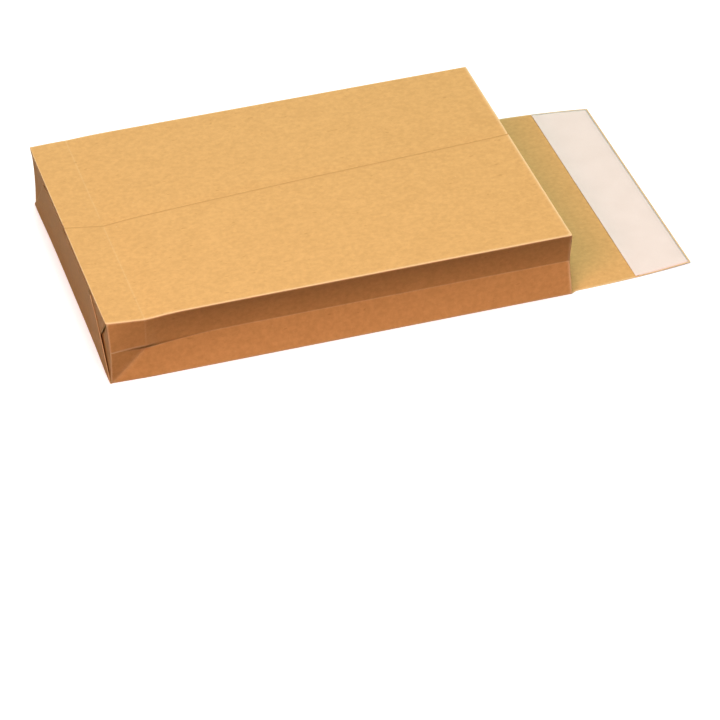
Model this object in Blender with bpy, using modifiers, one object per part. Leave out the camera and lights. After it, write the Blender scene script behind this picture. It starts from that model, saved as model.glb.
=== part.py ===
"""Gusseted envelope, opened out and lying on its back panel.

One kraft sheet is wound into a tube with a lengthwise lap seam, folded in at
both sides as gussets, closed at one end by a folded block bottom and left long
at the other end as the closing flap. A hot-melt strip and its release liner lie
on the flap. x runs along the envelope towards the flap, y across it and z up.
"""

import bmesh
import bpy
from mathutils import Vector

MM = 0.001

# Formats of the envelope
WIDTH = 250 * MM
LENGTH = 347 * MM
GUSSET = 52 * MM
FLAP_LENGTH = 96 * MM

# The sheet and how closely its layers lie
PAPER = 0.2 * MM
LAYER_GAP = 0.2 * MM

# Lap seam along the front panel, from the centre line to the far side
SEAM_AT_BOTTOM = 2 * MM
SEAM_AT_MOUTH = 18 * MM
SEAM_LAP = 18 * MM
SEAM_STEP = 2 * MM

# Block bottom
CREASE_DISTANCE = 27.5 * MM
BOTTOM_SETBACK = 5.5 * MM
CORNER_TUCK = 1.2 * MM
CORNER_HOLE = 1 * MM

# How far each side's fold is pushed in, and how the front panel sinks with it
NEAR_CREASE_RECESS = 3 * MM
NEAR_BODY_RECESS = 6 * MM
NEAR_CREASE_DROP = 2.8 * MM
NEAR_MOUTH_DROP = 1.6 * MM
FAR_CREASE_RECESS = 1.5 * MM
FAR_BODY_RECESS = 2.5 * MM
FAR_CREASE_DROP = 1.2 * MM
FAR_MOUTH_DROP = 0.2 * MM
RECESS_RUN = 60 * MM
RECESS_STATIONS = 3
BODY_STATIONS = 6

# Closing flap
FLAP_SHOULDER = 4 * MM
FLAP_ROOT_INSET = 2.6 * MM
FLAP_END_INSET = 8.7 * MM
FLAP_STATIONS = 6

# Hot-melt strip and release liner on the flap
LINER_LENGTH = 43.5 * MM
LINER_EDGE = 1.5 * MM
LINER_THICKNESS = 0.12 * MM
STRIP_LENGTH = 30 * MM
STRIP_SIDE_INSET = 6 * MM
STRIP_THICKNESS = 0.15 * MM
STICK_CLEARANCE = 0.05 * MM

# Glue lines that hold the folded sheet
SEAM_GLUE_WIDTH = 12 * MM
BOTTOM_GLUE_WIDTH = 14 * MM
GLUE_CLEARANCE = 0.04 * MM
GLUE_END_MARGIN = 6 * MM

# Worked out from the sizes above
PITCH = PAPER + LAYER_GAP
HALF = (WIDTH - PAPER) / 2
BOTTOM_FLAP = GUSSET - BOTTOM_SETBACK
FLAP_END = LENGTH + FLAP_LENGTH
LOWEST = PAPER / 2
HIGHEST = GUSSET - PAPER / 2
FRONT_FLAP_X = -2 * PITCH
BACK_FLAP_X = -4 * PITCH
CENTRE_X = (FLAP_END + BACK_FLAP_X - PAPER / 2) / 2


def clear_scene():
    """Remove the objects that the file opened with."""
    for obj in list(bpy.data.objects):
        bpy.data.objects.remove(obj, do_unlink=True)


def make_material(name, colour, roughness):
    """A plain Principled material."""
    material = bpy.data.materials.new(name)
    material.use_nodes = True
    shader = material.node_tree.nodes["Principled BSDF"]
    shader.inputs["Base Color"].default_value = (*colour, 1)
    shader.inputs["Roughness"].default_value = roughness
    shader.inputs["Metallic"].default_value = 0
    return material


def blend(start, end, share):
    """A value between start and end."""
    return start + (end - start) * share


def eased(share):
    """A share from 0 to 1 with a soft start and end."""
    share = min(max(share, 0), 1)
    return share * share * (3 - 2 * share)


class Sheet:
    """A surface of folded paper, built face by face along shared corners."""

    def __init__(self):
        self.mesh = bmesh.new()
        self.corners = {}

    def corner(self, point):
        key = tuple(round(value / (0.001 * MM)) for value in point)
        if key not in self.corners:
            self.corners[key] = self.mesh.verts.new(point)
        return self.corners[key]

    def face(self, *points):
        self.mesh.faces.new([self.corner(point) for point in points])

    def strip(self, first, second, skip=()):
        """Faces between two rows of points, leaving out the numbered steps in skip."""
        for index in range(len(first) - 1):
            if index not in skip:
                a, b = first[index], first[index + 1]
                c, d = second[index + 1], second[index]
                self.face(a, b, d)
                self.face(b, c, d)

    def fan(self, centre, rim):
        """Faces from one point to a row of points round it."""
        for first, second in zip(rim, rim[1:]):
            self.face(centre, first, second)

    def to_object(self, name, collection, material, thickness):
        """The surface as an object with a wall of even thickness."""
        bmesh.ops.recalc_face_normals(self.mesh, faces=self.mesh.faces)
        data = bpy.data.meshes.new(name)
        self.mesh.to_mesh(data)
        self.mesh.free()
        data.materials.append(material)
        obj = bpy.data.objects.new(name, data)
        collection.objects.link(obj)
        wall = obj.modifiers.new("paper", "SOLIDIFY")
        wall.thickness = thickness
        wall.offset = 0
        wall.use_even_offset = True
        wall.use_quality_normals = True
        return obj


def recess_at(x, side):
    """How far the gusset's centre crease is pushed in at x."""
    at_crease, along = (
        (NEAR_CREASE_RECESS, NEAR_BODY_RECESS) if side < 0
        else (FAR_CREASE_RECESS, FAR_BODY_RECESS)
    )
    return blend(at_crease, along, eased((x - CREASE_DISTANCE) / RECESS_RUN))


def top_at(x, side):
    """Height of the front panel's side edge at x, on the middle of its paper."""
    at_crease, at_mouth = (
        (NEAR_CREASE_DROP, NEAR_MOUTH_DROP) if side < 0
        else (FAR_CREASE_DROP, FAR_MOUTH_DROP)
    )
    share = (x - CREASE_DISTANCE) / (LENGTH - CREASE_DISTANCE)
    return HIGHEST - blend(at_crease, at_mouth, share)


def seam_edge(x):
    """Where the upper layer of the lap seam ends, across the front panel."""
    return blend(SEAM_AT_BOTTOM, SEAM_AT_MOUTH, max(x, 0) / LENGTH)


def front_height(x, y):
    """Height of the front panel at x, y, straight from side edge to side edge."""
    near = HIGHEST if x <= 0 else top_at(x, -1)
    far = HIGHEST if x <= 0 else top_at(x, 1)
    return blend(near, far, (y + HALF) / WIDTH)


def section(x):
    """The tube cut across at x: points from the seam's upper layer round to its lower layer."""
    edge = seam_edge(x)
    ramp = edge + 2 * SEAM_STEP
    step = edge + SEAM_STEP
    inner = edge - SEAM_LAP
    if x <= 0:
        side = HALF - CORNER_TUCK
        near_fold, far_fold = (-HALF, HIGHEST / 2), (HALF, HIGHEST / 2)
        near_top = far_top = HIGHEST
    else:
        side = HALF
        near_top, far_top = top_at(x, -1), top_at(x, 1)
        near_fold = (-HALF + recess_at(x, -1), near_top / 2)
        far_fold = (HALF - recess_at(x, 1), far_top / 2)
    outline = [
        (edge, front_height(x, edge)),
        (-side, near_top),
        near_fold,
        (-side, LOWEST),
        (side, LOWEST),
        far_fold,
        (side, far_top),
        (ramp, front_height(x, ramp)),
        (step, front_height(x, step) - PITCH),
        (inner, front_height(x, inner) - PITCH),
    ]
    return [(x, y, z) for y, z in outline]


def body_stations():
    """Places along the tube where its section is drawn, closer together near the bottom."""
    recessed = CREASE_DISTANCE + RECESS_RUN
    early = [
        blend(CREASE_DISTANCE, recessed, step / RECESS_STATIONS)
        for step in range(RECESS_STATIONS)
    ]
    late = [
        blend(recessed, LENGTH, step / BODY_STATIONS)
        for step in range(BODY_STATIONS + 1)
    ]
    return [0] + early + late


def gusset_end(side):
    """A gusset's end at the bottom, from top corner to low corner, through the ear's hinge."""
    outer = side * (HALF - CORNER_TUCK)
    middle = Vector((0, side * HALF, HIGHEST / 2))
    top = Vector((0, outer, HIGHEST))
    low = Vector((0, outer, LOWEST))
    reach = (PITCH + CORNER_HOLE) / (HIGHEST - LOWEST) * 2
    return [top, top.lerp(middle, reach), middle, low.lerp(middle, reach), low]


def add_tube(sheet):
    """Both panels, both gussets and the lap seam, from the bottom end to the mouth."""
    rows = [section(x) for x in body_stations()]
    # beside the bottom each gusset creases from its mid fold out to the corners
    sheet.strip(rows[0], rows[1], skip=(1, 2, 4, 5))
    near, far = rows[1][1:4], rows[1][6:3:-1]
    for side, (top, middle, low) in ((-1, near), (1, far)):
        sheet.fan(middle, [top] + gusset_end(side) + [low])
    for first, second in zip(rows[1:], rows[2:]):
        sheet.strip(first, second)


def flap_inset(x):
    """How far the closing flap's side edge lies inside the envelope's side at x."""
    share = (x - LENGTH - FLAP_SHOULDER) / (FLAP_LENGTH - FLAP_SHOULDER)
    return blend(FLAP_ROOT_INSET, FLAP_END_INSET, share ** 2)


def flap_row(x, edge=0, z=LOWEST):
    """The two ends of a line across the closing flap, edge inside its sides."""
    reach = HALF - flap_inset(x) - edge
    return [(x, -reach, z), (x, reach, z)]


def add_closing_flap(sheet):
    """The back panel carried on past the mouth, narrowing to its end."""
    mouth = [(LENGTH, -HALF, LOWEST), (LENGTH, HALF, LOWEST)]
    root = LENGTH + FLAP_SHOULDER
    rows = [mouth] + [
        flap_row(blend(root, FLAP_END, step / FLAP_STATIONS))
        for step in range(FLAP_STATIONS + 1)
    ]
    for first, second in zip(rows, rows[1:]):
        sheet.strip(first, second)


def add_bottom_corner(sheet, side, level, towards, layer_x, tuck_x):
    """The folded edge of a gusset's ear, the corner tucked under a bottom flap and its diagonal.

    level is the height of the flap's own fold and towards the way the flap leads
    from there. The flap lies at layer_x and its tucked corner at tuck_x. Returns the
    ear's folded edge and the flap's diagonal side, both starting at the corner.
    """
    outer = side * (HALF - CORNER_TUCK)
    cut = outer - side * CORNER_HOLE
    inner = outer - side * BOTTOM_FLAP
    fold = level + towards * PITCH
    ear_edge = [(0, cut, fold), (0, inner, fold)]
    tuck = [
        (tuck_x, cut, fold),
        (tuck_x, inner, fold),
        (tuck_x, inner, fold + towards * BOTTOM_FLAP),
        (tuck_x, cut, fold + towards * CORNER_HOLE),
    ]
    diagonal = [
        (layer_x, outer, level),
        (layer_x, cut, level + towards * CORNER_HOLE),
        (layer_x, inner, level + towards * BOTTOM_FLAP),
    ]
    sheet.face(*ear_edge, tuck[1], tuck[0])
    sheet.face(*tuck)
    sheet.face(tuck[3], tuck[2], diagonal[2], diagonal[1])
    return ear_edge, diagonal


def add_bottom(sheet):
    """Ears folded in first, then the front flap down, then the back flap up over it."""
    front_diagonals, back_diagonals = [], []
    for side in (-1, 1):
        top_edge, diagonal = add_bottom_corner(
            sheet, side, HIGHEST, -1, FRONT_FLAP_X, -PITCH)
        front_diagonals.append(diagonal)
        low_edge, diagonal = add_bottom_corner(
            sheet, side, LOWEST, 1, BACK_FLAP_X, BACK_FLAP_X + PITCH)
        back_diagonals.append(diagonal)
        hinge = gusset_end(side)[1:-1]
        sheet.face(*hinge, *low_edge, top_edge[1], top_edge[0])
    add_front_flap(sheet, *front_diagonals)
    add_back_flap(sheet, *back_diagonals)


def add_front_flap(sheet, near, far):
    """The bottom flap on the front panel's end, in two parts that lap as the seam does."""
    end = section(0)
    edge, near_corner, under_lap = end[0], end[1], end[6:]
    low = near[-1][2]
    # the near part carries the upper layer of the lap
    fold = (FRONT_FLAP_X, edge[1], HIGHEST)
    sheet.face(near_corner, edge, fold, near[0])
    sheet.face(near[0], fold, (FRONT_FLAP_X, edge[1], low), near[2], near[1])
    # the far part runs in under it, stepping back by as much as it steps down
    folds = [far[0]] + [(FRONT_FLAP_X + HIGHEST - z, y, z) for _, y, z in under_lap[1:]]
    feet = [(x, y, z - HIGHEST + low) for x, y, z in folds[1:]]
    sheet.strip(under_lap, folds)
    sheet.face(*folds[:2], feet[0], far[2], far[1])
    sheet.strip(folds[1:], feet)


def add_back_flap(sheet, near, far):
    """The bottom flap on the back panel's end, outermost of the block bottom."""
    corners = section(0)[3:5]
    sheet.face(*corners, far[0], near[0])
    sheet.face(near[0], far[0], far[1], far[2], near[2], near[1])


def make_envelope_body(collection, material):
    """The whole folded sheet."""
    sheet = Sheet()
    add_tube(sheet)
    add_closing_flap(sheet)
    add_bottom(sheet)
    return sheet.to_object("envelope_body", collection, material, PAPER)


def make_flap_layer(name, collection, material, start, end, edge, bottom, thickness):
    """A thin band across the closing flap, following its side edges."""
    sheet = Sheet()
    middle = bottom + thickness / 2
    rows = [
        flap_row(blend(start, end, step / FLAP_STATIONS), edge, middle)
        for step in range(FLAP_STATIONS + 1)
    ]
    for first, second in zip(rows, rows[1:]):
        sheet.strip(first, second)
    return sheet.to_object(name, collection, material, thickness)


def make_seam_glue(collection, material):
    """The glue line between the two layers of the lap seam."""
    sheet = Sheet()
    thickness = LAYER_GAP - 2 * GLUE_CLEARANCE
    rows = []
    for station in body_stations()[1:]:
        x = min(station, LENGTH - GLUE_END_MARGIN)
        centre = seam_edge(x) - SEAM_LAP / 2
        sides = (centre - SEAM_GLUE_WIDTH / 2, centre + SEAM_GLUE_WIDTH / 2)
        rows.append([(x, y, front_height(x, y) - PITCH / 2) for y in sides])
    for first, second in zip(rows, rows[1:]):
        sheet.strip(first, second)
    return sheet.to_object("seam_glue", collection, material, thickness)


def make_bottom_glue(collection, material):
    """The glue line that holds the back flap against the front flap of the bottom."""
    thickness = FRONT_FLAP_X - BACK_FLAP_X - PAPER - 2 * GLUE_CLEARANCE
    reach = HALF - CORNER_TUCK - BOTTOM_FLAP - GLUE_END_MARGIN
    height = LOWEST + BOTTOM_FLAP - GLUE_END_MARGIN - BOTTOM_GLUE_WIDTH / 2
    bpy.ops.mesh.primitive_cube_add(size=1)
    obj = bpy.context.object
    obj.name = "bottom_glue"
    obj.data.name = "bottom_glue"
    obj.data.materials.append(material)
    obj.scale = (thickness, 2 * reach, BOTTOM_GLUE_WIDTH)
    obj.location = ((BACK_FLAP_X + FRONT_FLAP_X) / 2, 0, height)
    for owner in list(obj.users_collection):
        owner.objects.unlink(obj)
    collection.objects.link(obj)
    return obj


def main():
    clear_scene()
    collection = bpy.data.collections.new("gusseted_envelope")
    bpy.context.scene.collection.children.link(collection)

    kraft = make_material("kraft_paper", (0.79, 0.47, 0.17), 0.72)
    liner = make_material("siliconised_paper", (0.88, 0.78, 0.69), 0.45)
    hot_melt = make_material("hot_melt", (0.85, 0.78, 0.55), 0.3)
    paste = make_material("paste", (0.8, 0.72, 0.5), 0.5)

    frame = bpy.data.objects.new("envelope_frame", None)
    collection.objects.link(frame)
    frame.location = (-CENTRE_X, 0, 0)

    liner_end = FLAP_END - LINER_EDGE
    liner_start = liner_end - LINER_LENGTH
    strip_start = liner_start + (LINER_LENGTH - STRIP_LENGTH) / 2
    strip_bottom = PAPER + STICK_CLEARANCE
    liner_bottom = strip_bottom + STRIP_THICKNESS + STICK_CLEARANCE

    pieces = [
        make_envelope_body(collection, kraft),
        make_flap_layer("adhesive_strip", collection, hot_melt, strip_start,
                        strip_start + STRIP_LENGTH, STRIP_SIDE_INSET, strip_bottom,
                        STRIP_THICKNESS),
        make_flap_layer("release_liner", collection, liner, liner_start, liner_end,
                        LINER_EDGE, liner_bottom, LINER_THICKNESS),
        make_seam_glue(collection, paste),
        make_bottom_glue(collection, paste),
    ]
    for piece in pieces:
        piece.parent = frame


main()
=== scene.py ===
# %% [markdown]
# # A gusseted envelope in kraft paper
# This lesson dresses a packed model of an opened gusseted envelope. The real one is a single kraft
# sheet: a flat tube with a lap seam, pleated sides, a folded block bottom and a long closing flap
# with a peel-off liner. The solids are already there and stay as they are. Each cell makes one
# piece or one finish, and prints what it made.

# %% Load the frame and keep its box
import math

import bmesh
import bpy
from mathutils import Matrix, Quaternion, Vector


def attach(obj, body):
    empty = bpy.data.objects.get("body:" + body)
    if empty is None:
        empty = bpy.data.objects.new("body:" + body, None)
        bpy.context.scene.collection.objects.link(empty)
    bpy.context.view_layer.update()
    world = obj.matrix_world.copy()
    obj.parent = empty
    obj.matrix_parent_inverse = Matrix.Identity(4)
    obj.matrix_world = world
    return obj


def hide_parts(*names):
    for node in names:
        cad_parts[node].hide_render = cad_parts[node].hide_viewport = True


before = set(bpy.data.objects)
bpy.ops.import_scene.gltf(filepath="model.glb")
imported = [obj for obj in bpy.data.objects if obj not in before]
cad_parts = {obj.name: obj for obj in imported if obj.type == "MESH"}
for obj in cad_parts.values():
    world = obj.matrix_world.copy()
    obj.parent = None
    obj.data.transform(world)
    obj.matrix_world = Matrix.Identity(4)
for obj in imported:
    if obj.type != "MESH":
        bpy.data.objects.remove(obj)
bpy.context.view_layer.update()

# %% [markdown]
# ## The envelope's own measures
# A folded sheet is easiest to draw along itself: x runs from the bottom fold towards the flap, y
# across from the middle, z up. The packed model is centred, so one shift in x takes these measures
# to its place. Most are the values that the solids were made from, in metres. The seam, the dips
# and the ridge beside the bottom, and the flap's far edge follow the real envelope more closely.

# %% Named measures
MM = 0.001
WIDTH, LENGTH, GUSSET, FLAP_LENGTH = 250 * MM, 347 * MM, 52 * MM, 96 * MM
PAPER, LAYER_GAP = 0.2 * MM, 0.2 * MM
SEAM_AT_END, SEAM_AT_CREASE, SEAM_AT_MOUTH = 5.5 * MM, 1.6 * MM, 21.6 * MM
SEAM_CURVE = 0.85
SEAM_LAP, SEAM_STEP, SEAM_RISE = 18 * MM, 1.2 * MM, 8 * MM
CREASE_DISTANCE, BOTTOM_SETBACK, CORNER_TUCK = 27.5 * MM, 5.5 * MM, 1.2 * MM
# one value for the near side and one for the far side
CREASE_RECESS, BODY_RECESS = (4.5 * MM, 1.5 * MM), (6 * MM, 2.5 * MM)
FOLD_DIP, FOLD_DIP_RUN = (2.2 * MM, 0), 50 * MM
# the ridge over the near gusset's centre fold: its height at the crease and at the bottom end, as
# shares of the gusset's upper half, how far it bulges, and how far past the crease it fades
RIDGE_SHARE, RIDGE_START, RIDGE_REACH, RIDGE_RUN = 0.12, 0.01, 1.8 * MM, 9 * MM
CREASE_DIP, PANEL_DROP = (1.6 * MM, 0.9 * MM), 0.1 * MM
RECESS_RUN, DIP_RUN = 60 * MM, 24 * MM
FLAP_SHOULDER, FLAP_ROOT_INSET = 4 * MM, 2.6 * MM
FLAP_END_INSET = (8.7 * MM, 12.2 * MM)

PITCH = PAPER + LAYER_GAP
HALF = (WIDTH - PAPER) / 2
CORNER = HALF - CORNER_TUCK
BOTTOM_FLAP = GUSSET - BOTTOM_SETBACK
FLAP_END = LENGTH + FLAP_LENGTH
# the sheet is kept this far off the table, so that no two faces lie in one plane
TABLE_CLEARANCE = 0.01 * MM
LOWEST, HIGHEST = TABLE_CLEARANCE + PAPER / 2, GUSSET - PAPER / 2
FRONT_FLAP_X, BACK_FLAP_X = -2 * PITCH, -4 * PITCH
CENTRE_X = (FLAP_END + BACK_FLAP_X - PAPER / 2) / 2
print("sheet drawn from", round(-CENTRE_X, 4), "to", round(FLAP_END - CENTRE_X, 4))

# %% [markdown]
# ## Camera
# The viewing angle comes first, because it decides which folds matter most. The place and the lens
# were worked out from the corners of the envelope, whose sizes are known: a long lens from the near
# side, about 36 degrees above the table. The camera is turned a little about its line of sight.

# %% Camera at the photograph's viewing angle
CAMERA_PLACE = Vector((-0.61469, -2.20732, 1.52921))
CAMERA_AIM = Vector((-0.04460, -0.15370, 0))
CAMERA_ROLL = math.radians(-2.037)
LENS, SENSOR = 183.05, 36

camera = bpy.data.objects.new("camera", bpy.data.cameras.new("camera"))
bpy.context.scene.collection.objects.link(camera)
bpy.context.scene.camera = camera
camera.data.lens, camera.data.sensor_width = LENS, SENSOR
camera.data.clip_start, camera.data.clip_end = 0.1, 50
camera.location = CAMERA_PLACE
camera.rotation_mode = "QUATERNION"
camera.rotation_quaternion = (
    (CAMERA_AIM - CAMERA_PLACE).to_track_quat("-Z", "Y")
    @ Quaternion((0, 0, 1), CAMERA_ROLL)
)
print("camera", round((CAMERA_AIM - CAMERA_PLACE).length, 3), "m from the envelope")

# %% [markdown]
# ## Nodes written as sums
# Materials and Geometry Nodes are both trees of nodes. Placing each Math node by hand makes a long
# script that is hard to read. One small class wraps a socket and turns +, -, *, / and ** into Math
# nodes, and one method adds any other node: its settings first, then the values or links.

# %% A wire, and a tree that adds nodes
class Wire:
    """One output of a node. Sums on wires add Math nodes to the same tree."""

    def __init__(self, nodes, socket):
        self.nodes, self.socket = nodes, socket

    def maths(self, operation, *values):
        return self.nodes.add("ShaderNodeMath", {"operation": operation}, dict(enumerate(values)))

    def __add__(self, other):
        return self.maths("ADD", self, other)

    def __sub__(self, other):
        return self.maths("SUBTRACT", self, other)

    def __rsub__(self, other):
        return self.maths("SUBTRACT", other, self)

    def __mul__(self, other):
        return self.maths("MULTIPLY", self, other)

    def __truediv__(self, other):
        return self.maths("DIVIDE", self, other)

    def __rtruediv__(self, other):
        return self.maths("DIVIDE", other, self)

    def __pow__(self, other):
        return self.maths("POWER", self, other)

    __radd__, __rmul__ = __add__, __mul__


class Nodes:
    """Adds nodes to one tree."""

    def __init__(self, tree):
        self.tree = tree
        tree.nodes.clear()

    @staticmethod
    def socket(sockets, key):
        """A socket by its number, its identifier or its name."""
        if isinstance(key, int):
            return sockets[key]
        return {s.identifier: s for s in sockets}.get(key) or sockets[key]

    def add(self, kind, settings=None, sockets=None, output=0):
        """A node of this kind, as the wire of one of its outputs."""
        node = self.tree.nodes.new(kind)
        for name, value in (settings or {}).items():
            setattr(node, name, value)
        for key, value in (sockets or {}).items():
            socket = self.socket(node.inputs, key)
            if isinstance(value, Wire):
                self.tree.links.new(value.socket, socket)
            else:
                socket.default_value = value
        return Wire(self, self.socket(node.outputs, output)) if node.outputs else None


print("wires add", len([name for name in vars(Wire) if name.startswith("__r")]), "reflected sums")

# %% [markdown]
# ## Paper in close-up
# Kraft paper looks plain from afar, but no part of it is one flat brown. The pulp settles in soft
# clouds, the fibres lie mostly along the machine's direction, some are darker or paler than the
# rest, and along a fold the surface is rubbed pale; that pale line also carries a painted highlight
# where the folds catch the light. An image could hold all this, but noise in object coordinates
# needs no file and never stretches. Three sizes of noise are added up here.

# %% Helpers for mottled paper
def noise(nodes, place, scale, detail=3, roughness=0.55, stretch=None):
    """A noise value from 0 to 1. stretch makes its grains longer along an axis."""
    if stretch:
        place = nodes.add("ShaderNodeMapping", {"vector_type": "POINT"},
                          {"Vector": place, "Scale": stretch})
    return nodes.add("ShaderNodeTexNoise", {"noise_dimensions": "3D"}, {
        "Vector": place, "Scale": scale, "Detail": detail, "Roughness": roughness}, "Fac")


def ramp(nodes, value, low, high):
    """0 where value is under low, 1 where it is over high, with a soft step between."""
    return nodes.add("ShaderNodeMapRange", {"interpolation_type": "SMOOTHSTEP"}, {
        "Value": value, "From Min": low, "From Max": high}, "Result")


def mix(nodes, share, first, second):
    """A colour between first and second."""
    return nodes.add("ShaderNodeMix", {"data_type": "RGBA", "clamp_factor": True}, {
        "Factor_Float": share, "A_Color": first, "B_Color": second}, "Result_Color")


def start_material(name):
    """A new material and the means to add nodes to it."""
    material = bpy.data.materials.new(name)
    material.use_nodes = True
    return material, Nodes(material.node_tree)


def finish_material(nodes, colour, roughness, height, depth, constants=None):
    """Adds the shader. height is a value from 0 to 1 that stands depth metres high."""
    bump = nodes.add("ShaderNodeBump", None, {"Height": height, "Distance": depth})
    shader = nodes.add("ShaderNodeBsdfPrincipled", None, {
        "Base Color": colour, "Roughness": roughness, "Normal": bump, **(constants or {})})
    nodes.add("ShaderNodeOutputMaterial", None, {"Surface": shader})


print("helpers for noise, ramps and mixes are ready")

# %% [markdown]
# ## Kraft paper
# The finish is an unbleached, slightly glazed paper: dull, with a faint sheen at low angles. A
# value stored on the mesh is 1 on a fold or a cut edge and 0 a little beside it, so the pale line
# follows each fold exactly. That line is partly real rubbing and partly a painted highlight where
# the folds catch the light. A fine groove in the bump goes with it. Another stored value does the
# same for a dark line painted along the edge of the lap, as painted shade under the seam's step.

# %% The kraft paper's material
KRAFT_PALE, KRAFT_DEEP = (0.695, 0.535, 0.228, 1), (0.615, 0.465, 0.19, 1)
# pale for fibres, rubbed folds and the painted highlight along folds; dark for specks
KRAFT_RUBBED_AND_HIGHLIGHT, KRAFT_FLECK = (0.8, 0.74, 0.44, 1), (0.42, 0.28, 0.09, 1)
# a dark brown painted as shade along the lap's edge
KRAFT_SEAM_SHADE = (0.44, 0.3, 0.1, 1)
# how many grains there are in a metre, of each kind
CLOUDS, MOTTLE, GRAIN, FLECKS, HAIRS = 38, 280, 2100, 420, 700
KRAFT_RELIEF = 0.06 * MM


def make_kraft():
    material, nodes = start_material("kraft_paper_fibres")
    place = nodes.add("ShaderNodeTexCoord", None, None, "Object")
    clouds = noise(nodes, place, CLOUDS, 2, 0.5)
    mottle = noise(nodes, place, MOTTLE, 3, 0.6, stretch=(0.9, 1, 1))
    grain = noise(nodes, place, GRAIN, 3, 0.6, stretch=(0.3, 1, 1))
    flecks = ramp(nodes, noise(nodes, place, FLECKS, 1, 0.5, stretch=(0.45, 1, 1)), 0.7, 0.82)
    hairs = ramp(nodes, noise(nodes, place, HAIRS, 1, 0.5, stretch=(1, 0.7, 1)), 0.74, 0.82)
    wear_and_highlight = nodes.add("ShaderNodeAttribute", {"attribute_name": "wear_and_highlight"}, None, "Fac")
    # pale along folds and cut edges: real rubbing, plus a painted highlight where folds catch the
    # light
    rubbed_and_highlight = ramp(nodes, wear_and_highlight + (grain - 0.5) * 0.4, 0.05, 0.75)
    # a dark line painted along the lap's edge, as shade under the seam's step
    seam_shade = nodes.add("ShaderNodeAttribute", {"attribute_name": "seam_shade_line"}, None, "Fac")
    seam_shade_mask = ramp(nodes, seam_shade + (mottle - 0.5) * 0.6, 0.15, 0.85)

    shade = 0.5 + (clouds - 0.5) * 0.6 + (mottle - 0.5) * 2.6 + (grain - 0.5) * 0.8
    colour = mix(nodes, shade, KRAFT_DEEP, KRAFT_PALE)
    colour = mix(nodes, flecks * 0.35, colour, KRAFT_FLECK)
    colour = mix(nodes, hairs * 0.3, colour, KRAFT_RUBBED_AND_HIGHLIGHT)
    # the pale line of rubbing and painted highlight along folds and cut edges
    colour = mix(nodes, rubbed_and_highlight * 0.8, colour, KRAFT_RUBBED_AND_HIGHLIGHT)
    # the painted shade line along the lap's edge
    colour = mix(nodes, seam_shade_mask * 0.6, colour, KRAFT_SEAM_SHADE)
    roughness = 0.62 + (mottle - 0.5) * 0.3 + rubbed_and_highlight * 0.12
    height = mottle * 0.5 + grain * 0.35 + hairs * 0.15 - rubbed_and_highlight * 0.4
    finish_material(nodes, colour, roughness, height, KRAFT_RELIEF, {"Specular IOR Level": 0.35})
    return material


kraft = make_kraft()
print(kraft.name, "has", len(kraft.node_tree.nodes), "nodes")

# %% [markdown]
# ## Release paper, hot melt and paste
# The liner is bleached paper under a thin silicone coat: whiter, smoother, with a soft sheen and
# hardly any fibres. The hot melt beneath it is a glossy yellowish film, laid in beads that have
# run together. The paste in the seams has dried matt. These three are small or hidden, but each
# still gets its own surface.

# %% The other three materials
LINER_PALE, LINER_DEEP = (0.82, 0.885, 0.8, 1), (0.77, 0.825, 0.735, 1)
MELT_PALE, MELT_DEEP = (0.85, 0.76, 0.5, 1), (0.7, 0.55, 0.28, 1)
PASTE_PALE, PASTE_DEEP = (0.78, 0.7, 0.5, 1), (0.6, 0.48, 0.28, 1)
LINER_RELIEF, GLUE_RELIEF = 0.08 * MM, 0.1 * MM


def make_liner():
    material, nodes = start_material("silicone_coated_paper")
    place = nodes.add("ShaderNodeTexCoord", None, None, "Object")
    clouds = noise(nodes, place, 55, 3, 0.5)
    fibres = noise(nodes, place, 1500, 3, 0.6, stretch=(1, 0.4, 1))
    wear_and_highlight = nodes.add("ShaderNodeAttribute", {"attribute_name": "wear_and_highlight"}, None, "Fac")
    shade = 0.5 + (clouds - 0.5) * 0.9 + (fibres - 0.5) * 0.5
    colour = mix(nodes, shade, LINER_DEEP, LINER_PALE)
    roughness = 0.42 + (clouds - 0.5) * 0.18 + wear_and_highlight * 0.1
    finish_material(nodes, colour, roughness, clouds * 0.7 + fibres * 0.3, LINER_RELIEF,
                    {"Coat Weight": 0.12, "Coat Roughness": 0.35})
    return material


def make_glue(name, pale, deep, roughness, bead_scale):
    """Dried glue in beads that run along the band."""
    material, nodes = start_material(name)
    place = nodes.add("ShaderNodeTexCoord", None, None, "Object")
    beads = noise(nodes, place, bead_scale, 2, 0.5, stretch=(1, 0.15, 1))
    specks = noise(nodes, place, bead_scale * 6, 3, 0.6)
    colour = mix(nodes, beads * 0.7 + specks * 0.3, deep, pale)
    finish_material(nodes, colour, roughness + (specks - 0.5) * 0.2, beads, GLUE_RELIEF)
    return material


liner_paper = make_liner()
hot_melt = make_glue("hot_melt_film", MELT_PALE, MELT_DEEP, roughness=0.25, bead_scale=240)
paste = make_glue("dried_paste", PASTE_PALE, PASTE_DEEP, roughness=0.6, bead_scale=160)
print("materials:", liner_paper.name, hot_melt.name, paste.name)

# %% [markdown]
# ## The tube cut across
# The envelope's body is a tube whose outline changes slowly from the bottom to the mouth: the seam
# runs askew, the side folds are pushed in, and the front panel dips at the first crease. The
# outline could be drawn by hand at a few places. A rule is shorter, and gives it anywhere: ten
# corners at each x, from the upper edge of the lap seam round to the layer beneath it.

# %% The rule for the outline
NEAR_TOP, NEAR_FOLD, NEAR_LOW, FAR_LOW, FAR_FOLD, FAR_TOP = range(1, 7)
# the nine stretches between the corners, each with the number of the corner that it starts at
NEAR_FRONT, NEAR_UPPER, NEAR_LOWER, BACK, FAR_LOWER, FAR_UPPER, FAR_FRONT, STEP, LAP = range(9)


def blend(start, end, share):
    """A value or a point between start and end."""
    return start + (end - start) * share


def eased(share):
    """A share from 0 to 1 with a soft start and end."""
    share = min(max(share, 0), 1)
    return share * share * (3 - 2 * share)


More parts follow.
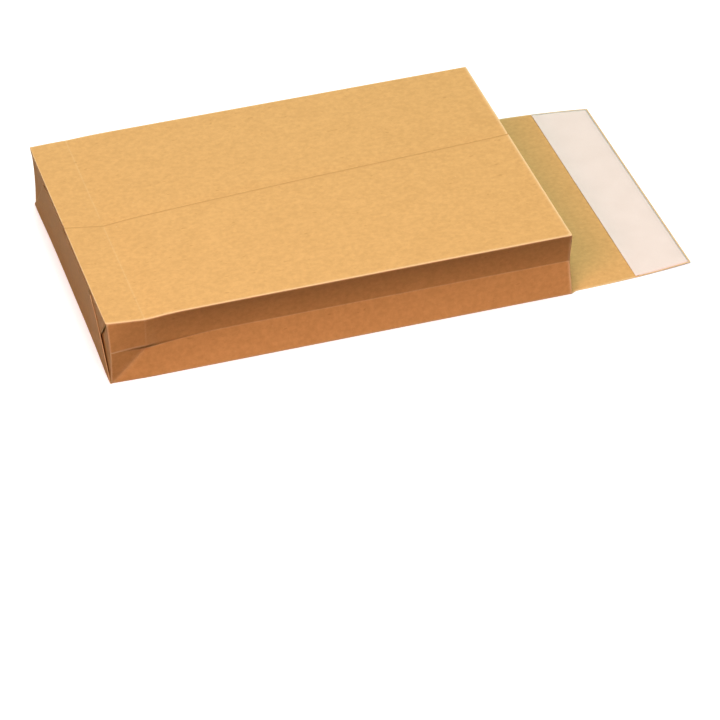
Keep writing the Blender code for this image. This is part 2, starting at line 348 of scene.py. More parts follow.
def recess_at(x, far):
    """How far a gusset's centre fold is pushed in."""
    return blend(CREASE_RECESS[far], BODY_RECESS[far], eased((x - CREASE_DISTANCE) / RECESS_RUN))


def top_at(x, far):
    """Height of the front panel's side edge, which dips at the crease."""
    dip = CREASE_DIP[far] * (1 - eased((x - CREASE_DISTANCE) / DIP_RUN))
    return HIGHEST - PANEL_DROP - dip


def fold_at(x, far):
    """Height of a gusset's centre fold, which also dips at the crease."""
    dip = FOLD_DIP[far] * (1 - eased((x - CREASE_DISTANCE) / FOLD_DIP_RUN))
    return top_at(x, far) / 2 - dip


def seam_edge(x):
    """Where the upper layer of the lap seam ends. The seam has a kink at the crease."""
    if x < CREASE_DISTANCE:
        return blend(SEAM_AT_END, SEAM_AT_CREASE, x / CREASE_DISTANCE)
    share = (x - CREASE_DISTANCE) / (LENGTH - CREASE_DISTANCE)
    return blend(SEAM_AT_CREASE, SEAM_AT_MOUTH, share ** SEAM_CURVE)


def outline(x):
    """The ten corners of the tube cut across at x."""
    edge = seam_edge(x)
    at_bottom = x <= 0
    side = CORNER if at_bottom else HALF
    tops = (HIGHEST, HIGHEST) if at_bottom else (top_at(x, 0), top_at(x, 1))
    folds = (HIGHEST / 2, HIGHEST / 2) if at_bottom else (fold_at(x, 0), fold_at(x, 1))
    recesses = (0, 0) if at_bottom else (recess_at(x, 0), recess_at(x, 1))

    def on_front(y, lower=0):
        return (y, blend(tops[0], tops[1], (y + HALF) / WIDTH) - lower)

    corners = [
        on_front(edge),
        (-side, tops[0]),
        (-HALF + recesses[0], folds[0]),
        (-side, LOWEST),
        (side, LOWEST),
        (HALF - recesses[1], folds[1]),
        (side, tops[1]),
        on_front(edge + SEAM_STEP + SEAM_RISE),
        on_front(edge + SEAM_STEP, PITCH),
        on_front(edge - SEAM_LAP, PITCH),
    ]
    return [Vector((x, y, z)) for y, z in corners]


print("the seam runs from y =", round(outline(0)[0].y, 4), "to", round(outline(LENGTH)[0].y, 4))

# %% [markdown]
# ## Where the control points lie
# The sheet will be a coarse cage that a Subdivision Surface rounds off. A fold stays tight where
# the cage has a second row close beside it, and soft where it has none. So each stretch of paper
# gets a point near each of its ends and the rest evenly spaced. How near that point is sets the
# radius of the fold.

# %% Shares along a stretch
FOLD_RADIUS = 0.9 * MM
CORNER_HOLE = FOLD_RADIUS - PITCH
# how far apart its points lie on a panel, on a flap or the lap, and on half a gusset
CAGE_STEP, FLAP_STEP, GUSSET_STEP = 15 * MM, 9 * MM, 6 * MM


def shares(length, step, rim=FOLD_RADIUS):
    """Shares from 0 to 1 along a stretch, with one close to each end."""
    count = max(1, round((length - 2 * rim) / step))
    inner = [blend(rim, length - rim, k / count) / length for k in range(count + 1)]
    return [0.0] + inner + [1.0]


FRONT_SHARES = shares(WIDTH / 2, CAGE_STEP)
SIDE_SHARES = shares(GUSSET / 2, GUSSET_STEP)
BACK_SHARES = shares(WIDTH, CAGE_STEP)
UNDER_LAP_SHARES = shares(SEAM_LAP + SEAM_STEP, FLAP_STEP)
RIDGE_RIM = 0.05  # as a share, from the ridge to the next point on either side
RIDGED_SHARES = sorted(SIDE_SHARES + [1 - RIDGE_SHARE - RIDGE_RIM, 1 - RIDGE_SHARE,
                                      1 - RIDGE_SHARE + RIDGE_RIM])
# the shares of the nine stretches, in their order
STRETCHES = [FRONT_SHARES, RIDGED_SHARES, SIDE_SHARES, BACK_SHARES, SIDE_SHARES, SIDE_SHARES,
             FRONT_SHARES, [0.0, 1.0], UNDER_LAP_SHARES]
DEPTHS = [d * BOTTOM_FLAP for d in shares(BOTTOM_FLAP, FLAP_STEP, CORNER_HOLE)]
print(sum(len(s) - 1 for s in STRETCHES), "faces round the tube,", len(DEPTHS) - 1, "down a flap")

# %% [markdown]
# ## One sheet with shared corners
# Paper is continuous over every fold, so faces that meet must share their points. This class keeps
# each point once, under its rounded place, and draws strips of faces between two rows of points.

# %% The cage
class Cage:
    """The folded sheet as a coarse mesh, drawn row by row."""

    def __init__(self):
        self.mesh = bmesh.new()
        self.crease = self.mesh.edges.layers.float.new("crease_edge")
        # wear and painted highlight along folds and cut edges
        self.wear_and_highlight = self.mesh.verts.layers.float.new("wear_and_highlight")
        # where a dark line is painted as shade at the lap's edge
        self.seam_shade_line = self.mesh.verts.layers.float.new("seam_shade_line")
        self.give = self.mesh.verts.layers.float_vector.new("give")
        self.points = {}

    def point(self, place):
        key = tuple(round(value / (0.001 * MM)) for value in place)
        if key not in self.points:
            self.points[key] = self.mesh.verts.new(place)
        return self.points[key]

    def face(self, *places):
        corners = []
        for place in places:
            corner = self.point(place)
            if corner not in corners:
                corners.append(corner)
        if len(corners) > 2:
            self.mesh.faces.new(corners)

    def mark(self, place, layer, value=1):
        """Stores a value of one layer on a point."""
        self.point(place)[layer] = value

    def strip(self, first, second, split=()):
        """Faces between two rows. The faces numbered in split are cut along a diagonal."""
        for k in range(len(first) - 1):
            a, b, c, d = first[k], first[k + 1], second[k + 1], second[k]
            if k not in split:
                self.face(a, b, c, d)
            elif split[k]:
                self.face(a, b, d)
                self.face(b, c, d)
            else:
                self.face(a, b, c)
                self.face(a, c, d)


cage = Cage()
print("an empty cage")

# %% [markdown]
# ## Panels, gussets and the creases beside the bottom
# From the mouth to the first crease the tube is drawn straight from its outline. Between that
# crease and the bottom each gusset opens out to the block's corners. Its lower half creases along
# a line from the centre fold to the bottom corner, which shows as a dark triangle on the near side.
# The upper half of the near one bulges over its fold, in a ridge that fades just past the crease.
# The dark triangle's edge runs along a diagonal of the cage, so it comes out straight.

# %% Points on the tube
# for each stretch of a gusset: its outer corner, its centre fold, and whether it is a lower half
GUSSET_STRETCHES = {
    NEAR_UPPER: (NEAR_TOP, NEAR_FOLD, False), NEAR_LOWER: (NEAR_LOW, NEAR_FOLD, True),
    FAR_LOWER: (FAR_LOW, FAR_FOLD, True), FAR_UPPER: (FAR_TOP, FAR_FOLD, False)}
BOTTOM_OUTLINE, CREASE_OUTLINE = outline(0), outline(CREASE_DISTANCE)


def ridge(stretch, outward, strength):
    """How far the near gusset's upper half bulges out, most along a ridge over its fold."""
    if stretch != NEAR_UPPER:
        return Vector((0, 0, 0))
    rise, fall = outward / RIDGE_SHARE, (1 - outward) / (1 - RIDGE_SHARE)
    return Vector((0, -RIDGE_REACH * strength * min(rise, fall), 0))


def ridge_lowered(stretch, outward, along):
    """The share outward after the ridge has moved down to the fold towards the end."""
    if stretch != NEAR_UPPER:
        return outward
    height = blend(RIDGE_START, RIDGE_SHARE, along)
    if outward < RIDGE_SHARE:
        return outward * height / RIDGE_SHARE
    return 1 - (1 - outward) * (1 - height) / (1 - RIDGE_SHARE)


def gusset_point(along, outward, stretch):
    """A point beside the bottom: along from the end to the crease, outward from the centre fold."""
    outer, centre, lower = GUSSET_STRETCHES[stretch]
    end_centre, end_outer = BOTTOM_OUTLINE[centre], BOTTOM_OUTLINE[outer]
    crease_centre, crease_outer = CREASE_OUTLINE[centre], CREASE_OUTLINE[outer]
    if not lower:
        share = ridge_lowered(stretch, outward, along)
        at_end = blend(end_centre, end_outer, share)
        at_crease = blend(crease_centre, crease_outer, share)
        return blend(at_end, at_crease, along) + ridge(stretch, outward, along ** 3)
    if along + outward <= 1:
        return (end_centre + (crease_centre - end_centre) * along
                + (end_outer - end_centre) * outward)
    return (crease_outer + (end_outer - crease_outer) * (1 - along)
            + (crease_centre - crease_outer) * (1 - outward))


def tube_point(x, stretch, share):
    """A point on the tube, at x and at a share of one stretch of its outline."""
    if x >= CREASE_DISTANCE:
        corners = outline(x)
        strength = 1 - eased((x - CREASE_DISTANCE) / RIDGE_RUN)
        return (blend(corners[stretch], corners[stretch + 1], share)
                + ridge(stretch, 1 - share, strength))
    along = x / CREASE_DISTANCE
    if stretch in GUSSET_STRETCHES:
        starts_outside = GUSSET_STRETCHES[stretch][0] == stretch
        return gusset_point(along, 1 - share if starts_outside else share, stretch)
    first = blend(BOTTOM_OUTLINE[stretch], BOTTOM_OUTLINE[stretch + 1], share)
    return blend(first, blend(CREASE_OUTLINE[stretch], CREASE_OUTLINE[stretch + 1], share), along)


def tube_row(x):
    """All points round the tube at x, as one row for each stretch."""
    return [[tube_point(x, k, share) for share in row] for k, row in enumerate(STRETCHES)]


SCORE_WEAR_AND_HIGHLIGHT = 0.3  # the crease beside the bottom was only scored, so its rubbed line and painted highlight are fainter than a fold's
BOTTOM_STATIONS = [share * CREASE_DISTANCE for share in SIDE_SHARES]
BODY_STATIONS = [blend(CREASE_DISTANCE, LENGTH, share)
                 for share in shares(LENGTH - CREASE_DISTANCE, CAGE_STEP)]
# one more row, near the place where the ridge has run out
BODY_STATIONS.insert(2, CREASE_DISTANCE + 0.75 * RIDGE_RUN)
TUBE_ROWS = [tube_row(x) for x in BOTTOM_STATIONS + BODY_STATIONS[1:]]

for row, (first, second) in enumerate(zip(TUBE_ROWS, TUBE_ROWS[1:])):
    for stretch, (a, b) in enumerate(zip(first, second)):
        split = {}
        if GUSSET_STRETCHES.get(stretch, (0, 0, False))[2] and row < len(SIDE_SHARES) - 1:
            last = len(SIDE_SHARES) - 2
            # the crease crosses one face in each row, from the bottom corner to the centre fold
            split = {last - row: True} if stretch == NEAR_LOWER else {row: False}
        cage.strip(a, b, split)
# the lap's edge carries the painted shade line
for row in TUBE_ROWS:
    cage.mark(row[NEAR_FRONT][0], cage.seam_shade_line)
# the ridge gets the same pale line as a fold: rubbing and a painted highlight along its crest
for row in TUBE_ROWS[1:len(BOTTOM_STATIONS)]:
    cage.mark(row[NEAR_UPPER][RIDGED_SHARES.index(1 - RIDGE_SHARE)], cage.wear_and_highlight)
# the score line crosses the front panel and goes down the near gusset as far as the ridge
CREASE_ROW = TUBE_ROWS[len(BOTTOM_STATIONS) - 1]
for place in (CREASE_ROW[NEAR_FRONT][1:] + CREASE_ROW[NEAR_UPPER][1:-3]
              + CREASE_ROW[FAR_FRONT][:-1]):
    cage.mark(place, cage.wear_and_highlight, SCORE_WEAR_AND_HIGHLIGHT)
print(len(cage.mesh.faces), "faces in the tube")

# %% [markdown]
# ## The block bottom
# The bottom is folded from the tube's own end. The gussets' ends go in first and are called ears.
# Then the front flap folds down, and the back flap comes up over it. At each end of a flap a corner
# of paper is tucked under it along a 45 degree fold. All layers are drawn here as they lie, 0.4 mm
# apart. Where three folds meet, real paper leaves a pinhole, and so does the cage.

# %% Flaps, ears and tucked corners
def side_of(y):
    return -1 if y < 0 else 1


def front_flap_rows():
    """Rows down the front flap, in one list for each stretch of the front panel."""
    lists = []
    for stretch in (NEAR_FRONT, FAR_FRONT, STEP, LAP):
        panel = TUBE_ROWS[0][stretch]
        rows = [panel]
        for depth in DEPTHS:
            row = []
            for k, start in enumerate(panel):
                # only the end beside a gusset narrows, and the lap keeps its line
                share = STRETCHES[stretch][k]
                narrowing = {NEAR_FRONT: share, FAR_FRONT: 1 - share}.get(stretch, 0)
                x = FRONT_FLAP_X + HIGHEST - start.z
                outward = -1 if stretch == NEAR_FRONT else 1
                row.append(Vector((x, start.y - outward * depth * narrowing, start.z - depth)))
            rows.append(row)
        lists.append(rows)
    return lists


def back_flap_rows():
    """Rows up the back flap, which narrows at both ends."""
    panel = TUBE_ROWS[0][BACK]
    rows = [panel]
    for depth in DEPTHS:
        reach = CORNER - depth
        rows.append([Vector((BACK_FLAP_X, blend(-reach, reach, share), LOWEST + depth))
                     for share in BACK_SHARES])
    return rows


FRONT_FLAP = front_flap_rows()
for rows in FRONT_FLAP + [back_flap_rows()]:
    for first, second in zip(rows, rows[1:]):
        cage.strip(first, second)
# the painted shade line goes on down the front flap at the lap's edge
for row in FRONT_FLAP[0]:
    cage.mark(row[0], cage.seam_shade_line)


def ear_columns(side):
    """Columns of an ear, from its hinge inward, each from the top down."""
    end = TUBE_ROWS[0]
    upper, lower = ((end[NEAR_UPPER], end[NEAR_LOWER]) if side < 0
                    else (end[FAR_UPPER][::-1], end[FAR_LOWER][::-1]))
    hinge = (upper + lower[1:])[1:-1]
    top, low = HIGHEST - PITCH, LOWEST + PITCH
    spread = [(hinge[0].z - p.z) / (hinge[0].z - hinge[-1].z) for p in hinge]
    heights = [blend(top, low, share) for share in spread]
    columns = [hinge]
    for depth in DEPTHS[1:]:
        columns.append([Vector((0, side * (CORNER - depth), z)) for z in heights])
    return columns


def tuck_columns(side, level, towards, layer_x, tuck_x):
    """Columns of a tucked corner, from the ear's edge over both folds to the flap's side edge."""
    columns = []
    for depth in DEPTHS[1:]:
        y = side * (CORNER - depth)
        fold = level + towards * PITCH
        rim = min(FOLD_RADIUS / 2, depth * 0.3)
        steps = [0, rim, depth / 2, depth - rim, depth]
        columns.append([Vector((0, y, fold))]
                       + [Vector((tuck_x, y, fold + towards * step)) for step in steps]
                       + [Vector((layer_x, y, level + towards * depth))])
    return columns


for side in (-1, 1):
    for columns in (ear_columns(side),
                    tuck_columns(side, HIGHEST, -1, FRONT_FLAP_X, -PITCH),
                    tuck_columns(side, LOWEST, 1, BACK_FLAP_X, BACK_FLAP_X + PITCH)):
        for first, second in zip(columns, columns[1:]):
            cage.strip(first, second)
print(len(cage.mesh.faces), "faces with the block bottom")

# %% [markdown]
# ## The closing flap
# Past the mouth the back panel carries on as the flap. Its sides step in at a small shoulder and
# then curve in a little more towards the end. It doesn't lie dead flat: paper that has been folded
# lifts towards its end. The two rules below work on plain numbers here, and on wires in the
# Geometry Nodes tree of the liner, so that the liner follows the flap exactly.

# %% The flap's outline and lift
# the height of its end's near corner, and the far corner's height as a share of that
FLAP_LIFT, FAR_LIFT = 1.3 * MM, 0.35


def flap_edge(x, far):
    """How far across the flap's near or far side edge lies."""
    share = (x - LENGTH - FLAP_SHOULDER) / (FLAP_LENGTH - FLAP_SHOULDER)
    return HALF - blend(FLAP_ROOT_INSET, FLAP_END_INSET[far], share ** 2)


def flap_lift(x, y):
    """How far the flap has risen off the table, most at the near corner of its end."""
    along = (x - LENGTH) / FLAP_LENGTH
    across = (HALF - y) / WIDTH
    return FLAP_LIFT * along ** 2 * blend(FAR_LIFT, 1, across ** 2)


def flap_row(x):
    places = [(x, blend(-flap_edge(x, False), flap_edge(x, True), share))
              for share in BACK_SHARES]
    return [Vector((x, y, LOWEST + flap_lift(x, y))) for x, y in places]


LEAN = 0.005 * MM  # the lifted end leans out by this much, so it stops short of the full length
ROOT, TIP = LENGTH + FLAP_SHOULDER, FLAP_END - LEAN
FLAP_ROWS = [TUBE_ROWS[-1][BACK]] + [flap_row(blend(ROOT, TIP, share))
                                  for share in shares(TIP - ROOT, CAGE_STEP)]
for first, second in zip(FLAP_ROWS, FLAP_ROWS[1:]):
    cage.strip(first, second)
print(len(cage.mesh.faces), "faces with the closing flap")

# %% [markdown]
# ## Settled layers, wear with painted highlight, and give
# So far the bottom's layers lie like cards, evenly spaced. On the real one they are drawn together
# at the corners, the back flap is pressed onto the front flap where no corner is tucked between
# them, the ears sink in, and the whole end is bowed. Then three values are stored on every point.
# One value marks folds and cut edges for the material: real rubbing there, and a painted highlight
# where the folds catch the light. Another marks the edge of the lap, where a dark line is painted
# as shade under the seam's step. Give says which way a point may move, and how far: the front panel
# can only sink, the gussets can only bulge inwards, and the back panel lies on the table and can't
# move at all.

# %% Settle the layers and store wear with painted highlight, painted seam shade and give
END_BOW, FOOT_PUSH, APEX_DROP = (0.8 * MM, 1.3 * MM), 1.5 * MM, 0.7 * MM
TIGHT_PITCH, TIGHT_RUN = 0.22 * MM, 15 * MM
PRESSED_X, PRESS_RUN = FRONT_FLAP_X - 0.32 * MM, 9 * MM
EAR_SINK = 3.4 * MM
FRONT_GIVE, GUSSET_GIVE = 0.9 * MM, 1.1 * MM
MILD_FOLD, FULL_FOLD, MILD_SHARPNESS = math.radians(3), math.radians(60), 0.9


def hump(share):
    """0 at both ends of a stretch and 1 in its middle."""
    share = min(max(share, 0), 1)
    return 4 * share * (1 - share)


def settled(place):
    """Where a point of the bottom comes to lie."""
    x, from_corner, height = place.x, CORNER - abs(place.y), place.z / GUSSET
    if x < BACK_FLAP_X + PAPER:
        free = eased((from_corner - BOTTOM_FLAP) / PRESS_RUN)
        x = blend(x, PRESSED_X, free * eased((place.z - LOWEST) / PRESS_RUN))
    elif x == 0:
        x += EAR_SINK * hump(height) * hump(from_corner / BOTTOM_FLAP) * height ** 3
    if x < 0:
        x *= blend(TIGHT_PITCH / PITCH, 1, min(max(from_corner / TIGHT_RUN, 0), 1))
    fade = (1 - min(max(x / CREASE_DISTANCE, 0), 1)) ** 2
    bow = blend(END_BOW[0], END_BOW[1], (place.y + HALF) / WIDTH) * hump(height)
    foot = FOOT_PUSH * (1 - abs(place.y / HALF) ** 4) * (1 - height) ** 2
    drop = APEX_DROP * eased(place.y / HALF) * height * fade
    return Vector((x + (bow + foot) * fade, place.y, place.z - drop))


def give_at(place):
    """The way a point of the sheet may move, and how far."""
    along = eased(place.x / (2 * CREASE_DISTANCE))
    if place.x <= 0 or place.x > LENGTH or along == 0:
        return Vector((0, 0, 0))
    if place.z > HIGHEST - 2 * CREASE_DIP[0]:
        return Vector((0, 0, -FRONT_GIVE * hump((place.y + HALF) / WIDTH) ** 0.5 * along))
    if place.z > 2 * PAPER and abs(place.y) > HALF - 2 * BODY_RECESS[0]:
        top = top_at(place.x, place.y > 0)
        return Vector((0, -side_of(place.y) * GUSSET_GIVE * hump(place.z * 2 / top % 1) * along, 0))
    return Vector((0, 0, 0))


def to_object(cage, name):
    """The cage as an object in the packed model's frame, with wear, painted highlight and give
    stored on it.
    """
    mesh = cage.mesh
    bmesh.ops.recalc_face_normals(mesh, faces=mesh.faces)
    for edge in mesh.edges:
        angle = edge.calc_face_angle(math.pi) if len(edge.link_faces) == 2 else math.pi
        if MILD_FOLD < angle < FULL_FOLD:
            edge[cage.crease] = MILD_SHARPNESS
        for vert in edge.verts:
            # folds get rubbing and a painted highlight, except on the painted shade line of the lap
            if angle > MILD_FOLD and not vert[cage.seam_shade_line]:
                vert[cage.wear_and_highlight] = max(vert[cage.wear_and_highlight], min(angle / FULL_FOLD, 1))
    for vert in mesh.verts:
        vert[cage.give] = give_at(vert.co)
        vert.co = settled(vert.co) - Vector((CENTRE_X, 0, 0))
    data = bpy.data.meshes.new(name)
    mesh.to_mesh(data)
    mesh.free()
    obj = bpy.data.objects.new(name, data)
    bpy.context.scene.collection.objects.link(obj)
    return obj


sheet = to_object(cage, "kraft_sheet")
print(len(sheet.data.vertices), "points in the cage")

# %% [markdown]
# ## Slack paper
# Stretched paper is flat, but a filled envelope's isn't: the panels sag and bulge in long shallow
# waves. They could be modelled by hand, point by point. Geometry Nodes do it by a rule instead:
# each point moves along its stored give by two sizes of noise. As noise depends only on the place,
# the two layers of the seam, and the paste between them, move together.

# %% The tree that relaxes a sheet
def start_tree(name, inputs):
    """A Geometry Nodes tree with a geometry input, named inputs and one output."""
    tree = bpy.data.node_groups.new(name, "GeometryNodeTree")
    tree.is_modifier = True
    tree.interface.new_socket("Geometry", in_out="INPUT", socket_type="NodeSocketGeometry")
    for label, kind in inputs.items():
        tree.interface.new_socket(label, in_out="INPUT", socket_type="NodeSocket" + kind)
    tree.interface.new_socket("Geometry", in_out="OUTPUT", socket_type="NodeSocketGeometry")
    nodes = Nodes(tree)
    group = tree.nodes.new("NodeGroupInput")
    return tree, nodes, {s.name: Wire(nodes, s) for s in group.outputs if s.name}


def end_tree(nodes, geometry, material):
    """Realize Instances, Set Material and the output."""
    real = nodes.add("GeometryNodeRealizeInstances", None, {"Geometry": geometry})
    painted = nodes.add("GeometryNodeSetMaterial", None, {"Geometry": real, "Material": material})
    nodes.add("NodeGroupOutput", None, {"Geometry": painted})


def make_slack_tree():
    tree, nodes, given = start_tree("slack_paper", {
        "Long wave": "Float", "Short wave": "Float", "Short share": "Float", "Seed": "Float",
        "Material": "Material"})
    place = nodes.add("GeometryNodeInputPosition")
    give = nodes.add("GeometryNodeInputNamedAttribute", {"data_type": "FLOAT_VECTOR"},
                     {"Name": "give"}, "Attribute")

    def waves(length, detail):
        return nodes.add("ShaderNodeTexNoise", {"noise_dimensions": "4D"}, {
            "Vector": place, "W": given["Seed"], "Scale": 1 / length, "Detail": detail}, "Fac")

    amount = waves(given["Long wave"], 1) + waves(given["Short wave"], 0) * given["Short share"]
    shift = nodes.add("ShaderNodeVectorMath", {"operation": "SCALE"},
                      {0: give, "Scale": amount}, "Vector")
    moved = nodes.add("GeometryNodeSetPosition", None,
                      {"Geometry": given["Geometry"], "Offset": shift})
    end_tree(nodes, moved, given["Material"])
    return tree


def run_tree(obj, tree, values):
    """Runs a tree on an object and keeps the result as its plain mesh."""
    modifier = obj.modifiers.new(tree.name, "NODES")
    modifier.node_group = tree
    for item in tree.interface.items_tree:
        if item.in_out == "INPUT" and item.name in values:
            modifier[item.identifier] = values[item.name]
    obj.update_tag()
    bpy.context.view_layer.update()
    evaluated = obj.evaluated_get(bpy.context.evaluated_depsgraph_get())
    made = bpy.data.meshes.new_from_object(evaluated, preserve_all_data_layers=True,
                                           depsgraph=bpy.context.evaluated_depsgraph_get())
    obj.modifiers.remove(modifier)
    old, obj.data = obj.data, made
    made.name = obj.name
    bpy.data.meshes.remove(old)
    return obj


slack_tree = make_slack_tree()
SLACK = {"Long wave": 0.16, "Short wave": 0.055, "Short share": 0.35, "Seed": 4.0}
run_tree(sheet, slack_tree, {**SLACK, "Material": kraft})
print(slack_tree.name, "moved", len(sheet.data.vertices), "points")

# %% [markdown]
# ## From cage to paper
# Subdivision rounds the cage's folds, and Solidify gives it the thickness of heavy kraft, half to
# each side. The order matters: rounding first keeps the wall even. This piece now stands for the
# body's solid, which stays in the simulation.

# %% Finish the paper body
def finish_sheet(obj, thickness, levels):
    """Rounds a cage and gives it an even wall."""
    if levels:
        rounding = obj.modifiers.new("rounding", "SUBSURF")
        rounding.levels = rounding.render_levels = levels
        rounding.boundary_smooth = "PRESERVE_CORNERS"
    wall = obj.modifiers.new("wall", "SOLIDIFY")
    wall.thickness, wall.offset = thickness, 0
    wall.use_even_offset = wall.use_quality_normals = True
    for polygon in obj.data.polygons:
        polygon.use_smooth = True


finish_sheet(sheet, PAPER, 2)
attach(sheet, "root")
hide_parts("envelope_body")
print(sheet.name, "stands for envelope_body")

# %% [markdown]
# ## Bands on the flap
# Two bands lie across the flap: the hot melt, and the liner over it. Both follow the flap's curved
# sides and its lift, so one tree makes both. It starts from a plain grid, reads each point's place
# in it as two shares, and moves the point by the flap's own rules. The liner's inner edge is left
# unglued so that fingers can get under it, and it stands up a little in shallow waves. Its other
# edges droop to the flap, because no hot melt lies under them.

# %% The tree that lays a band across the flap
LINER_LENGTH, LINER_EDGE, LINER_THICKNESS = 43.5 * MM, 1.1 * MM, 0.12 * MM
STRIP_LENGTH, STRIP_SIDE_INSET, STRIP_THICKNESS = 30 * MM, 6 * MM, 0.15 * MM
STICK_CLEARANCE = 0.05 * MM
LINER_START = FLAP_END - LINER_EDGE - LINER_LENGTH
STRIP_START = LINER_START + (LINER_LENGTH - STRIP_LENGTH) / 2
STRIP_BOTTOM = TABLE_CLEARANCE + PAPER + STICK_CLEARANCE
LINER_BOTTOM = STRIP_BOTTOM + STRIP_THICKNESS + STICK_CLEARANCE
# powers of a share: the higher, the narrower the rim that droops, or that stands up unglued
END_RIM, SIDE_RIM, FREE_RIM = 16, 40, 8
RIPPLE_SCALE, RIPPLE_LEAST = 28.0, 0.3


def make_band_tree():
    tree, nodes, given = start_tree("band_across_flap", {
        "Start": "Float", "Length": "Float", "Side inset": "Float", "Height": "Float",
        "Rows": "Int", "Columns": "Int", "Free edge": "Float", "Droop": "Float", "Seed": "Float",
        "Material": "Material"})
    grid = nodes.add("GeometryNodeMeshGrid", None, {
        "Size X": 1.0, "Size Y": 1.0, "Vertices X": given["Rows"],
        "Vertices Y": given["Columns"]}, "Mesh")
    place = nodes.add("GeometryNodeInputPosition")
    parts = nodes.add("ShaderNodeSeparateXYZ", None, {"Vector": place}, "X")
    along = parts + 0.5
    across = Wire(nodes, parts.socket.node.outputs["Y"]) + 0.5

    x = given["Start"] + along * given["Length"]
    near, far = given["Side inset"] - flap_edge(x, False), flap_edge(x, True) - given["Side inset"]
    y = near + (far - near) * across
    ripple = nodes.add("ShaderNodeTexNoise", {"noise_dimensions": "2D"}, {
        "Vector": nodes.add("ShaderNodeCombineXYZ", None, {"X": given["Seed"], "Y": y}),
        "Scale": RIPPLE_SCALE, "Detail": 1.0}, "Fac")
    free = given["Free edge"] * (1 - along) ** FREE_RIM * (RIPPLE_LEAST + ripple)
    unglued = along.maths("MAXIMUM", along ** END_RIM, (across * 2 - 1) ** SIDE_RIM)
    z = given["Height"] + flap_lift(x, y) + free - given["Droop"] * unglued
    laid = nodes.add("GeometryNodeSetPosition", None, {
        "Geometry": grid,
        "Position": nodes.add("ShaderNodeCombineXYZ", None, {"X": x - CENTRE_X, "Y": y, "Z": z})})
    end_tree(nodes, laid, given["Material"])
    return tree


band_tree = make_band_tree()


def make_band(name, values):
    """An object that holds what the band tree makes."""
    obj = bpy.data.objects.new(name, bpy.data.meshes.new(name))
    bpy.context.scene.collection.objects.link(obj)
    run_tree(obj, band_tree, {"Rows": 31, "Columns": 91, "Seed": 2.5, **values})
    return obj


melt_band = make_band("hot_melt_band", {
    "Start": STRIP_START, "Length": STRIP_LENGTH, "Side inset": STRIP_SIDE_INSET,
    "Height": STRIP_BOTTOM + STRIP_THICKNESS / 2, "Free edge": 0.0, "Droop": 0.0,
    "Material": hot_melt})
finish_sheet(melt_band, STRIP_THICKNESS, 0)
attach(melt_band, "root")
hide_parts("adhesive_strip")

liner_band = make_band("release_liner_band", {
    "Start": LINER_START, "Length": LINER_LENGTH, "Side inset": LINER_EDGE,
    "Height": LINER_BOTTOM + LINER_THICKNESS / 2, "Free edge": 0.45 * MM, "Droop": 0.28 * MM,
    "Material": liner_paper})
finish_sheet(liner_band, LINER_THICKNESS, 0)
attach(liner_band, "root")
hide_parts("release_liner")
print("bands:", melt_band.name, liner_band.name)

# %% [markdown]
# ## Paste in the seams
# Two lines of paste hold the sheet: one along the lap seam and one across the block bottom. Nobody
# sees them, but they would show in a cut. They are drawn as narrow cages between their two layers
# of paper, and get the same give and the same bow, so they stay between them.

# %% Paste lines
SEAM_GLUE_WIDTH, BOTTOM_GLUE_WIDTH = 12 * MM, 14 * MM
GLUE_CLEARANCE, GLUE_END_MARGIN = 0.04 * MM, 6 * MM


def seam_paste_rows():
    rows = []
    for x in BODY_STATIONS:
        x = min(x, LENGTH - GLUE_END_MARGIN)
        corners = outline(x)
        centre = corners[0].y - SEAM_LAP / 2
        row = []
        for across in (-0.5, -0.25, 0, 0.25, 0.5):
            y = centre + across * SEAM_GLUE_WIDTH
            top = blend(top_at(x, 0), top_at(x, 1), (y + HALF) / WIDTH)
            row.append(Vector((x, y, top - PITCH / 2)))
        rows.append(row)
    return rows


def bottom_paste_rows():
    x = (FRONT_FLAP_X + PRESSED_X) / 2
    reach = CORNER - BOTTOM_FLAP - PRESS_RUN
    top = LOWEST + BOTTOM_FLAP - GLUE_END_MARGIN
    heights = [top - BOTTOM_GLUE_WIDTH * k / 4 for k in range(5)]
    return [[Vector((x, blend(-reach, reach, k / 10), z)) for k in range(11)] for z in heights]


def make_paste(name, node, rows, gap):
    line = Cage()
    for first, second in zip(rows, rows[1:]):
        line.strip(first, second)
    obj = run_tree(to_object(line, name), slack_tree, {**SLACK, "Material": paste})
    finish_sheet(obj, gap - 2 * GLUE_CLEARANCE, 1)
    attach(obj, "root")
    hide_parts(node)
    return obj


seam_paste = make_paste("seam_paste_line", "seam_glue", seam_paste_rows(), LAYER_GAP)
bottom_paste = make_paste("bottom_paste_line", "bottom_glue", bottom_paste_rows(),
                          FRONT_FLAP_X - PRESSED_X - PAPER)
print("paste lines:", seam_paste.name, bottom_paste.name)

# %% [markdown]
# ## Table and light
# The envelope lies on a plain pale table in soft studio light. Two cool softboxes above light the
# front panel. Warm ones from the near side, from the near corner and from beside the mouth reach
# the gusset, which looks reddish for that reason. Dim ones light the bottom end and the far side.
# One bright lamp would leave the gussets black; large soft ones keep the shadows short. The view's
# contrast is set high, as in catalogue pictures, and the table glows a little, so it stays white.
# It sends no light back up, which would wash out the tones under the folds.

# %% Floor, sky and softboxes
TABLE_DEEP, TABLE_PALE = (0.83, 0.88, 0.89, 1), (0.85, 0.9, 0.91, 1)
GLOW_COLOUR, TABLE_GLOW = (0.85, 1, 1, 1), 0.28
TABLE_REACH, TABLE_RELIEF = 12, 0.01 * MM
SKY_COLOUR, SKY_STRENGTH = (1, 0.85, 0.75, 1), 0.042
COOL, WARM = (0.9, 1.02, 1.05), (1, 0.43, 0.41)
REAR_WARM, END_WARM = (1, 0.78, 0.62), (1, 0.84, 0.56)


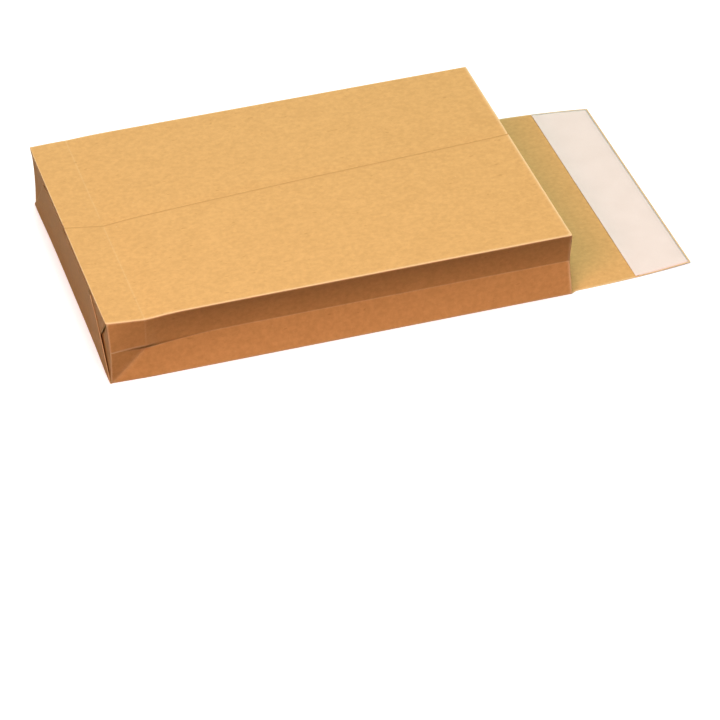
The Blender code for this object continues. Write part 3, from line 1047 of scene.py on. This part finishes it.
def make_floor():
    mesh = bpy.data.meshes.new("table_top")
    shape = bmesh.new()
    bmesh.ops.create_grid(shape, x_segments=1, y_segments=1, size=TABLE_REACH)
    shape.to_mesh(mesh)
    shape.free()
    floor = bpy.data.objects.new("table_top", mesh)
    bpy.context.scene.collection.objects.link(floor)
    material, nodes = start_material("pale_table")
    place = nodes.add("ShaderNodeTexCoord", None, None, "Object")
    veil = noise(nodes, place, 3, 2)
    colour = mix(nodes, veil, TABLE_DEEP, TABLE_PALE)
    finish_material(nodes, colour, 0.9, veil, TABLE_RELIEF, {
        "Emission Color": GLOW_COLOUR, "Emission Strength": TABLE_GLOW})
    mesh.materials.append(material)
    # it sends no light back up
    floor.visible_diffuse = False


def add_softbox(name, place, aim, size, power, colour):
    light = bpy.data.objects.new(name, bpy.data.lights.new(name, "AREA"))
    bpy.context.scene.collection.objects.link(light)
    light.data.shape, light.data.size = "DISK", size
    light.data.energy, light.data.color = power, colour
    light.location = place
    light.rotation_mode = "QUATERNION"
    light.rotation_quaternion = (Vector(aim) - Vector(place)).to_track_quat("-Z", "Y")


make_floor()
world = bpy.data.worlds.new("studio")
bpy.context.scene.world = world
world.use_nodes = True
world.node_tree.nodes["Background"].inputs["Color"].default_value = SKY_COLOUR
world.node_tree.nodes["Background"].inputs["Strength"].default_value = SKY_STRENGTH
bpy.context.scene.view_settings.view_transform = "Standard"
bpy.context.scene.view_settings.look = "High Contrast"

# its name, its place, the place it aims at, its width in metres, its power in watts, its colour
SOFTBOXES = [
    ("overhead", (0.1, 0.3, 2.5), (0, 0, 0), 1.2, 15.4, COOL),
    ("key", (-0.2, -1.2, 2.3), (0, 0, 0), 1.0, 14.4, COOL),
    ("corner_fill", (-1.35, -1.35, 1.7), (0, 0, 0), 1.2, 20.5, WARM),
    ("near_fill", (-0.4, -1.85, 1.8), (0, 0, 0), 1.2, 13, WARM),
    ("back_fill", (0.3, 1.5, 2.0), (0, 0, 0), 1.2, 4.2, COOL),
    ("rear_fill", (0.3, 2.4, 0.55), (0, 0, 0), 1.2, 10, REAR_WARM),
    ("end_fill", (-2.4, -0.3, 0.7), (-0.2, 0, 0), 1.2, 3, END_WARM),
    ("mouth_fill", (1.4, -1.4, 1.3), (0.1, 0, 0), 1.2, 4.2, WARM),
]
for softbox in SOFTBOXES:
    add_softbox(*softbox)

# %% [markdown]
# ## The size of the dressed model
# The finished pieces have to fit the packed solids, which carry the weight and the collisions.
